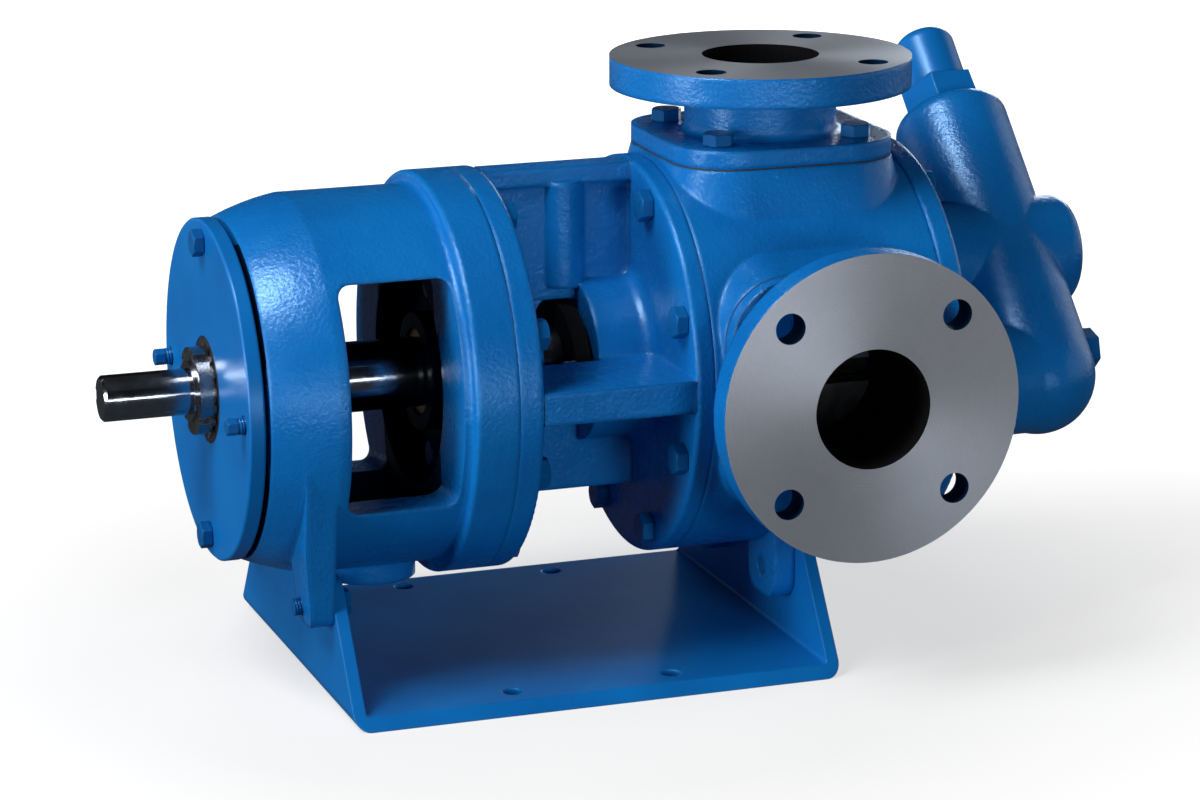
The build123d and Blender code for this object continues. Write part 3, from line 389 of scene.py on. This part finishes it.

# Machined port faces, bare iron darkened to near black as painted shade where the
# liquid runs, and bolt holes painted near black as painted shade.
FACE_SKIN = 0.1 * MM
BORE_SKIN = 0.5 * MM
HOLE_RING = (60 * MM, 90 * MM)
FLANGE_DEPTH = 24 * MM
for name, axis in (("top", UP), ("side", NEAR)):
    flange = f"{name}_port_flange"
    face = max(axis.dot(corner - CENTRE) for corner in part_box(flange))
    bore = mounts[f"{name}_port_bore"]["dims"]["r_mm"] * MM
    second_material(
        flange,
        FLANGE_FACE[name],
        lambda c, n: n.dot(axis) > 0.99 and axis.dot(c - CENTRE) > face - FACE_SKIN,
    )
    second_material(
        flange, RAW_IRON_AND_SHADE, lambda c, n: off_axis(c, CENTRE, axis) < bore + BORE_SKIN
    )
    second_material(
        flange,
        PAINTED_SHADE,
        lambda c, n: abs(n.dot(axis)) < 0.3
        and HOLE_RING[0] < off_axis(c, CENTRE, axis) < HOLE_RING[1]
        and axis.dot(c - CENTRE) > face - FLANGE_DEPTH,
    )

# The casing's chamber and port channels: bare iron, near black as painted shade.
CHAMBER = (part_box("rotor")[1].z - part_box("rotor")[0].z) / 2 + 2 * MM
CHANNEL = 40 * MM
second_material(
    "casing",
    RAW_IRON_AND_SHADE,
    lambda c, n: off_axis(c, CENTRE, HEADWARD) < CHAMBER
    or (off_axis(c, CENTRE, UP) < CHANNEL and c.z > CENTRE.z)
    or (off_axis(c, CENTRE, NEAR) < CHANNEL and c.y < 0),
)


# ------------------------------------------------------------------ mesh pieces
def circle(radius, along, count):
    """A ring of points at a height."""
    steps = [2 * math.pi * k / count for k in range(count)]
    return [(radius * math.cos(a), radius * math.sin(a), along) for a in steps]


def standing(foot, across, axis):
    """A placing at a foot, with its X across and its Z along the axis."""
    turn = Matrix((across, axis.cross(across), axis)).transposed().to_4x4()
    return Matrix.Translation(foot) @ turn


def sweep_rings(bm, place, rings):
    """Joins rings of points (across, up, along) by quads into a closed solid."""
    made = [[bm.verts.new(place @ Vector(point)) for point in ring] for ring in rings]
    count = len(rings[0])
    for low, high in zip(made, made[1:]):
        for k in range(count):
            after = (k + 1) % count
            bm.faces.new((low[k], low[after], high[after], high[k]))
    bm.faces.new(made[-1])
    bm.faces.new(list(reversed(made[0])))


def make_piece(name, bm, material, node, crease):
    """A mesh piece that replaces a CAD node, smooth up to a crease angle in degrees."""
    mesh = bpy.data.meshes.new(name)
    bmesh.ops.recalc_face_normals(bm, faces=bm.faces)
    bm.to_mesh(mesh)
    bm.free()
    mesh.materials.append(material)
    mesh.polygons.foreach_set("use_smooth", [True] * len(mesh.polygons))
    mesh.set_sharp_from_angle(angle=math.radians(crease))
    piece = bpy.data.objects.new(name, mesh)
    bpy.context.scene.collection.objects.link(piece)
    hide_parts(node)
    return piece


# ------------------------------------------------------------------ fasteners
HEAD_STEPS = 72
WASHER_HEIGHT = 0.5 * MM
# the washer face and the flat top, as shares of the width over flats
WASHER_SHARE = 0.93
CHAMFER_SHARE = 0.95
CHAMFER_ANGLE = math.pi / 6
THREAD_STEPS = 24
THREAD_ROWS = 6  # per turn
THREAD_PITCH = 1.75 * MM
THREAD_DEPTH = 0.55 * MM
SLIGHT = 0.01 * MM
RIM_SHARE = 0.98  # of a head's corner radius: points beyond it are corners


def loose_parts(mesh):
    """The corner points of each separate solid in a mesh."""
    home = {}
    for vertex in mesh.vertices:
        home.setdefault(tuple(round(c, 6) for c in vertex.co), len(home))
    spot = [home[tuple(round(c, 6) for c in v.co)] for v in mesh.vertices]
    group = list(range(len(home)))

    def root(index):
        while group[index] != index:
            group[index] = group[group[index]]
            index = group[index]
        return index

    for polygon in mesh.polygons:
        first = root(spot[polygon.vertices[0]])
        for corner in polygon.vertices[1:]:
            group[root(spot[corner])] = first
    parts = {}
    for point, index in home.items():
        parts.setdefault(root(index), []).append(Vector(point))
    return list(parts.values())


def hex_head(bm, place, flats, height):
    """A forged hex head: washer face, six flats and a 30 degree chamfer."""
    inner = CHAMFER_SHARE * flats / 2
    low, high = [], []
    for k in range(HEAD_STEPS):
        angle = 2 * math.pi * k / HEAD_STEPS
        turn = (angle % (math.pi / 3)) - math.pi / 6
        radius = flats / 2 / math.cos(turn)
        point = (radius * math.cos(angle), radius * math.sin(angle))
        low.append((*point, WASHER_HEIGHT))
        high.append((*point, height - (radius - inner) * math.tan(CHAMFER_ANGLE)))
    washer = [
        circle(WASHER_SHARE * flats / 2, z, HEAD_STEPS) for z in (0, WASHER_HEIGHT)
    ]
    sweep_rings(bm, place, [*washer, low, high, circle(inner, height, HEAD_STEPS)])


def threaded_shank(bm, place, radius, length):
    """A shank with a rolled thread, from the head's seat down."""
    rings = []
    for row in range(int(length / THREAD_PITCH * THREAD_ROWS) + 1):
        along = -length + row * THREAD_PITCH / THREAD_ROWS
        ring = []
        for k in range(THREAD_STEPS):
            phase = (along / THREAD_PITCH - k / THREAD_STEPS) % 1.0
            reach = radius - THREAD_DEPTH * abs(2 * phase - 1)
            angle = 2 * math.pi * k / THREAD_STEPS
            ring.append((reach * math.cos(angle), reach * math.sin(angle), along))
        rings.append(ring)
    sweep_rings(bm, place, rings)


def hex_bolts(node, axis, head=1.0, sunk=0.0):
    """Rebuilds a node's hex bolts with forged heads, each where the CAD bolt is.

    head scales the width over flats, and sunk is how much further a bolt is screwed in.
    """
    bm = bmesh.new()
    for points in loose_parts(nodes[node].data):
        top = max(axis.dot(p) for p in points)
        end = min(axis.dot(p) for p in points)
        corners = [p for p in points if axis.dot(p) > top - SLIGHT]
        middle = sum(corners, Vector()) / len(corners)
        reach = max((p - middle).length for p in corners)
        rim = [p for p in points if off_axis(p, middle, axis) > RIM_SHARE * reach]
        tip = [p for p in points if axis.dot(p) < end + SLIGHT]
        seat = min(axis.dot(p) for p in rim)
        shank = max(off_axis(p, middle, axis) for p in tip)
        across = (corners[0] - middle).normalized()
        place = standing(middle - axis * ((top - seat) + sunk), across, axis)
        hex_head(bm, place, head * reach * math.sqrt(3), top - seat)
        threaded_shank(bm, place, shank, seat - sunk - end)
    name = node + "_forged"
    piece = make_piece(name, bm, PAINT_BOLT, node, crease=28)
    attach(piece, "frame")


for node, axis in (
    ("carrier_screws", REARWARD),
    ("housing_screws", REARWARD),
    ("adapter_bolts", REARWARD),
    ("bracket_bolts", HEADWARD),
    ("bracket_foot_bolts", HEADWARD),
    ("casing_foot_bolts", HEADWARD),
    ("head_bolts", HEADWARD),
    ("valve_screws", HEADWARD),
    ("top_port_bolts", UP),
    ("side_port_bolts", NEAR),
):
    hex_bolts(node, axis)
hex_bolts("jack_screws", REARWARD, head=0.62, sunk=11 * MM)

# ------------------------------------------------------------------ relief spring
SPRING_TURNS = 6
SPLIT_TURN = 4
COIL_STEPS = 40
WIRE_STEPS = 12


def wire_coil(name, first, last):
    """The relief spring's round wire from one turn to another, and its two ends."""
    lowest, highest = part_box("spring_seat")
    centre = (lowest + highest) / 2
    points = [v.co for v in nodes["relief_spring"].data.vertices]
    reach = [off_axis(p, centre, VALVE_AXIS) for p in points]
    coil = (max(reach) + min(reach)) / 2
    wire = (max(reach) - min(reach)) / 2
    foot = min(points, key=VALVE_AXIS.dot)
    low = VALVE_AXIS.dot(foot) + wire
    high = max(VALVE_AXIS.dot(p) for p in points) - wire
    arm = foot - centre
    across = (arm - VALVE_AXIS * arm.dot(VALVE_AXIS)).normalized()
    level = centre - VALVE_AXIS * VALVE_AXIS.dot(centre)
    place = standing(level, across, VALVE_AXIS)
    rings = []
    for step in range(first * COIL_STEPS, last * COIL_STEPS + 1):
        angle = 2 * math.pi * step / COIL_STEPS
        along = low + (high - low) * step / COIL_STEPS / SPRING_TURNS
        ring = []
        for out, up, _ in circle(wire, 0, WIRE_STEPS):
            radius = coil + out
            ring.append(
                (radius * math.cos(angle), radius * math.sin(angle), along + up)
            )
        rings.append(ring)
    bm = bmesh.new()
    sweep_rings(bm, place, rings)
    piece = make_piece(
        name, bm, SPRING_STEEL, "relief_spring", crease=50
    )
    ends = [
        place @ Vector((0, 0, low + (high - low) * turn / SPRING_TURNS))
        for turn in (first, last)
    ]
    return piece, ends


# The spring is built as two pieces: the lower coils and the upper ones.
coils, (start, end) = wire_coil("relief_spring_lower", 0, SPLIT_TURN)
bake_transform(coils)
coils, (start, end) = wire_coil("relief_spring_upper", SPLIT_TURN, SPRING_TURNS)
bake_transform(coils)

# ------------------------------------------------------------------ studio
WHITE = rgba(1, 1, 1)
FLOOR_SIZE = 14.0
FLOOR_SEEN = rgba(0.34, 0.34, 0.34)
FLOOR_BOUNCE = rgba(0.08, 0.08, 0.08)
# The floor's glow rises from the middle outwards: a painted shadow around the object.
PAINTED_SHADOW_RADII = (0.28, 0.85)
PAINTED_SHADOW_GLOW = (0.60, 1.0)
WORLD_LIGHT = 0.05

CAMERA_PLACE = Vector((-0.75763, -2.28036, 0.77884))
CAMERA_AZIMUTH = -19.416
CAMERA_ELEVATION = 14.477
CAMERA_ROLL = -0.226
CAMERA_LENS = 118.17
CAMERA_SENSOR = 36.0
CAMERA_CLIP = (0.1, 50.0)

AIM = (-0.03, 0.0, 0.2)
DOWN = (0.0, 0.0, -1.0)
BACK_CORNER = (0.2, 0.0, 0.3)

# name, place, side in metres, watts, whether gloss shows the lamp itself
LAMPS = (
    ("key", (-1.25, -0.38, 1.9), 1.0, 40, True),
    ("left", (-2.4, -0.5, 0.45), 0.7, 38, True),
    ("front", (0.25, -2.35, 0.42), 0.5, 18, False),
    ("back", (0.7, 2.5, 0.5), 0.8, 22, False),
    ("right", (2.3, 0.9, 0.5), 0.8, 18, False),
)

# name, place, target, width and height in metres, level; these sheets only reflections
# see: the dim ones give painted dark reflections, the bright ones painted highlights
CARD_TINT = rgba(0.78, 0.88, 1.0)
CARDS = (
    ("card_front", (0.0, -3.4, 1.5), AIM, (6.0, 3.4), 0.01),
    ("card_back", (0.6, 3.2, 1.4), AIM, (7.0, 3.0), 0.01),
    ("card_left", (-3.6, 0.2, 1.4), AIM, (5.0, 2.4), 0.01),
    ("card_floor", (0.0, 0.0, 0.001), DOWN, (6.0, 6.0), 0.05),
    ("strip_front", (-0.35, -2.6, 0.27), AIM, (2.6, 0.18), 15),
    ("strip_top", (-1.0, -0.42, 2.2), AIM, (0.5, 0.5), 60),
    ("card_top", (0.0, 0.0, 3.2), AIM, (9.0, 9.0), 0.03),
    ("painted_highlight_back", (2.15, 2.9, 1.0), BACK_CORNER, (1.3, 0.9), 9.0),
)


def aim_at(thing, place, target):
    """Puts a lamp or card at a place, facing a target."""
    thing.location = place
    arm = Vector(target) - Vector(place)
    thing.rotation_euler = arm.to_track_quat("-Z", "Y").to_euler()


def make_floor():
    """A white floor that keeps the object's shadow and throws little light back up; its
    glow is lower near the middle, a painted shadow around the object.
    """
    t = material_tree("floor")
    seen = t.seen()
    radius = t.radius_from((0.0, 0.0, 0.0), UP)
    level = t.span(radius, *PAINTED_SHADOW_RADII, *PAINTED_SHADOW_GLOW)
    tone = t.mix(seen, FLOOR_BOUNCE, FLOOR_SEEN)
    matt = t.add("ShaderNodeBsdfDiffuse", {"Color": tone})
    strength = t.math("MULTIPLY", seen, level)
    glow = t.add("ShaderNodeEmission", {"Color": WHITE, "Strength": strength})
    both = t.add("ShaderNodeAddShader", {0: matt.outputs[0], 1: glow.outputs[0]})
    t.add("ShaderNodeOutputMaterial", {"Surface": both.outputs[0]})
    bpy.ops.mesh.primitive_plane_add(size=FLOOR_SIZE)
    floor = bpy.context.object
    floor.name = "floor"
    floor.data.materials.append(t.owner)


def make_card(name, place, target, size, level):
    """A card that only reflections see: when dim, a painted dark reflection; when
    bright, a painted highlight; for contrast in the gloss.
    """
    t = material_tree(name)
    tone = t.add("ShaderNodeEmission", {"Color": CARD_TINT, "Strength": level})
    t.add("ShaderNodeOutputMaterial", {"Surface": tone.outputs[0]})
    bpy.ops.mesh.primitive_plane_add(size=1.0)
    sheet = bpy.context.object
    sheet.name = name
    sheet.scale = (*size, 1.0)
    aim_at(sheet, place, target)
    sheet.data.materials.append(t.owner)
    sheet.visible_camera = False
    sheet.visible_diffuse = False
    sheet.visible_transmission = False
    sheet.visible_shadow = False


def make_world():
    """A faint even light; straight and in gloss or glass the world looks white."""
    world = bpy.data.worlds.new("studio")
    bpy.context.scene.world = world
    t = Tree(world)
    faint = t.add("ShaderNodeBackground", {"Strength": WORLD_LIGHT}).outputs[0]
    white = t.add("ShaderNodeBackground", {"Color": WHITE, "Strength": 1.0}).outputs[0]
    both = t.add("ShaderNodeMixShader", {0: t.seen(), 1: faint, 2: white})
    t.add("ShaderNodeOutputWorld", {"Surface": both.outputs[0]})


def make_lamp(name, place, side, power, glossy):
    """A soft square lamp aimed at the object."""
    data = bpy.data.lights.new(name, "AREA")
    data.shape = "RECTANGLE"
    data.size = data.size_y = side
    data.energy = power
    lamp = bpy.data.objects.new(name, data)
    bpy.context.scene.collection.objects.link(lamp)
    lamp.visible_glossy = glossy
    aim_at(lamp, place, AIM)


def make_camera():
    """The camera at the photograph's viewing angle."""
    data = bpy.data.cameras.new("camera")
    data.lens = CAMERA_LENS
    data.sensor_width = CAMERA_SENSOR
    data.clip_start, data.clip_end = CAMERA_CLIP
    camera = bpy.data.objects.new("camera", data)
    bpy.context.scene.collection.objects.link(camera)
    turn = (
        Matrix.Rotation(math.radians(CAMERA_AZIMUTH), 4, "Z")
        @ Matrix.Rotation(math.radians(90 - CAMERA_ELEVATION), 4, "X")
        @ Matrix.Rotation(math.radians(CAMERA_ROLL), 4, "Z")
    )
    camera.matrix_world = Matrix.Translation(CAMERA_PLACE) @ turn
    bpy.context.scene.camera = camera


make_floor()
make_world()
make_camera()
for lamp in LAMPS:
    make_lamp(*lamp)
for sheet in CARDS:
    make_card(*sheet)
bpy.context.scene.view_settings.view_transform = "Standard"
